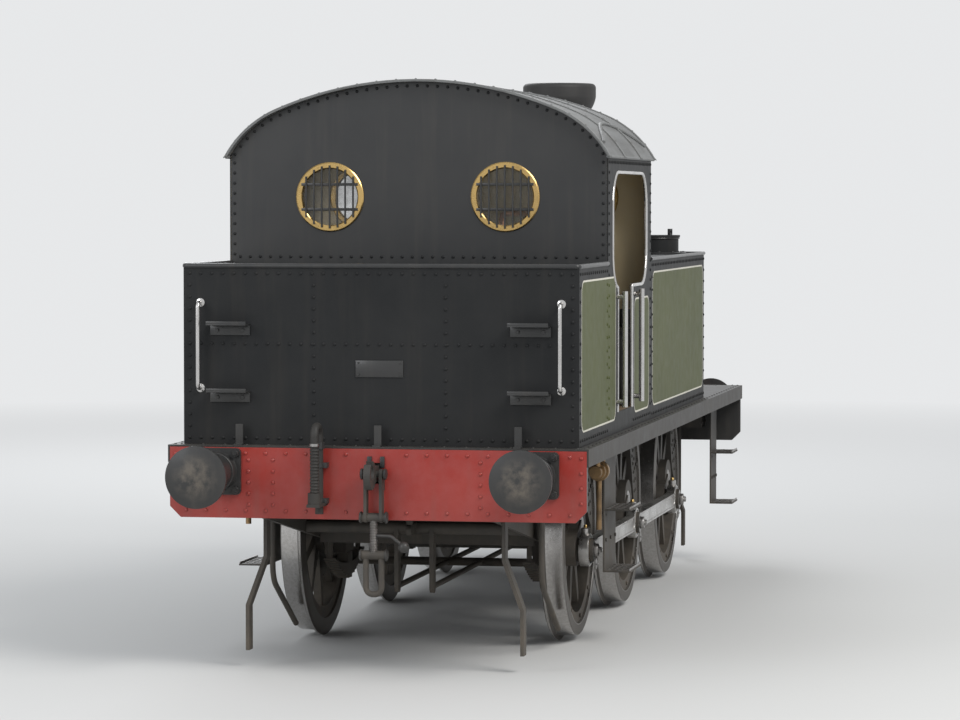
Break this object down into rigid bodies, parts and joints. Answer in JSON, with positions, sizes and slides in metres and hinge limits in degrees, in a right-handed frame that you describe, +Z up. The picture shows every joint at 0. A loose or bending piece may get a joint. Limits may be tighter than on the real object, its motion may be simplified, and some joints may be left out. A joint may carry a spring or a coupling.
{
  "type": "steam locomotive",
  "caption": "Small six-coupled side-tank steam locomotive with an open-sided cab and bunker, turning wheels and rods, and hinged smokebox door and filler lids.",
  "frame": {"origin": "midway between the buffer faces, on the centre line, at the lowest point of the wheel flanges, 28 mm below rail level", "axes": "+X towards the chimney end, +Y to the left-hand side, +Z up"},
  "size_m": [7.938, 2.29, 3.328],
  "materials": {
    "black_paint": "satin",
    "green_paint": "gloss",
    "chassis_black": "dull and oily",
    "smokebox_black": "matt",
    "roof_grey": "satin",
    "buffer_red": "satin",
    "cab_cream": "satin",
    "bright_steel": "polished",
    "tyre_steel": "worn",
    "cast_iron": "dull",
    "brass": "polished",
    "floor_wood": "worn"
  },
  "bodies": {
    "engine": {"frame_plates": "chassis_black", "frame_stretchers": "chassis_black", "cylinders": "cast_iron", "slide_bars": "bright_steel", "crossheads": "bright_steel", "axleboxes": "cast_iron", "springs": "chassis_black", "buffer_beams": "buffer_red", "running_plate": "black_paint", "buffers": "black_paint", "drawhooks": "tyre_steel", "screw_couplings": "tyre_steel", "brake_pipes": "black_paint", "brake_gear": "chassis_black", "brake_cylinder": "cast_iron", "guard_irons": "chassis_black", "sandboxes": "chassis_black", "footsteps": "chassis_black", "injectors": "brass", "smokebox": "smokebox_black", "smokebox_saddle": "smokebox_black", "boiler": "green_paint", "firebox": "green_paint", "ashpan": "cast_iron", "chimney": "smokebox_black", "dome": "green_paint", "safety_valves": "brass", "whistle": "brass", "clack_valves": "brass", "side_tanks": "green_paint", "filler_necks": "green_paint", "splashers": "green_paint", "cab_sides": "green_paint", "cab_front": "green_paint", "cab_back": "green_paint", "cab_roof": "roof_grey", "cab_floor": "floor_wood", "bunker": "green_paint", "backhead_fittings": "brass", "cab_controls": "bright_steel", "cab_handrails": "bright_steel", "boiler_handrails": "bright_steel", "lamp_irons": "black_paint"},
    "driving_wheels": {"driving_axle": "bright_steel", "driving_centres": "chassis_black", "driving_tyres": "tyre_steel"},
    "leading_wheels": {"leading_axle": "bright_steel", "leading_centres": "chassis_black", "leading_tyres": "tyre_steel"},
    "trailing_wheels": {"trailing_axle": "bright_steel", "trailing_centres": "chassis_black", "trailing_tyres": "tyre_steel"},
    "rod_left": {"coupling_rod_left": "bright_steel"},
    "rod_right": {"coupling_rod_right": "bright_steel"},
    "door": {"smokebox_door": "smokebox_black"},
    "lid_left": {"filler_lid_left": "green_paint"},
    "lid_right": {"filler_lid_right": "green_paint"}
  },
  "joints": [
    {"name": "driving_spin", "type": "hinge", "parent": "engine", "child": "driving_wheels", "pos_m": [0.14, 0, 0.6375], "axis": [0, 1, 0], "continuous": true},
    {"name": "leading_spin", "type": "hinge", "parent": "engine", "child": "leading_wheels", "pos_m": [1.969, 0, 0.6375], "axis": [0, 1, 0], "continuous": true},
    {"name": "trailing_spin", "type": "hinge", "parent": "engine", "child": "trailing_wheels", "pos_m": [-1.689, 0, 0.6375], "axis": [0, 1, 0], "continuous": true},
    {"name": "rod_left_pin", "type": "hinge", "parent": "driving_wheels", "child": "rod_left", "pos_m": [0.2372, 0.8775, 0.42905], "axis": [0, 1, 0], "continuous": true},
    {"name": "rod_right_pin", "type": "hinge", "parent": "driving_wheels", "child": "rod_right", "pos_m": [-0.06845, -0.8775, 0.5403], "axis": [0, 1, 0], "continuous": true},
    {"name": "smokebox_door_hinge", "type": "hinge", "parent": "engine", "child": "door", "pos_m": [2.82, 0.505, 1.818], "axis": [0, 0, 1], "range_deg": [0, 150]},
    {"name": "filler_lid_left_hinge", "type": "hinge", "parent": "engine", "child": "lid_left", "pos_m": [1.35, 0.635, 2.2953], "axis": [1, 0, 0], "range_deg": [0, 105]},
    {"name": "filler_lid_right_hinge", "type": "hinge", "parent": "engine", "child": "lid_right", "pos_m": [1.35, -0.635, 2.2953], "axis": [-1, 0, 0], "range_deg": [0, 105]}
  ],
  "couplings": [
    {"joint": "leading_spin", "follows": "driving_spin", "ratio": 1},
    {"joint": "trailing_spin", "follows": "driving_spin", "ratio": 1},
    {"joint": "rod_left_pin", "follows": "driving_spin", "ratio": -1},
    {"joint": "rod_right_pin", "follows": "driving_spin", "ratio": -1}
  ]
}
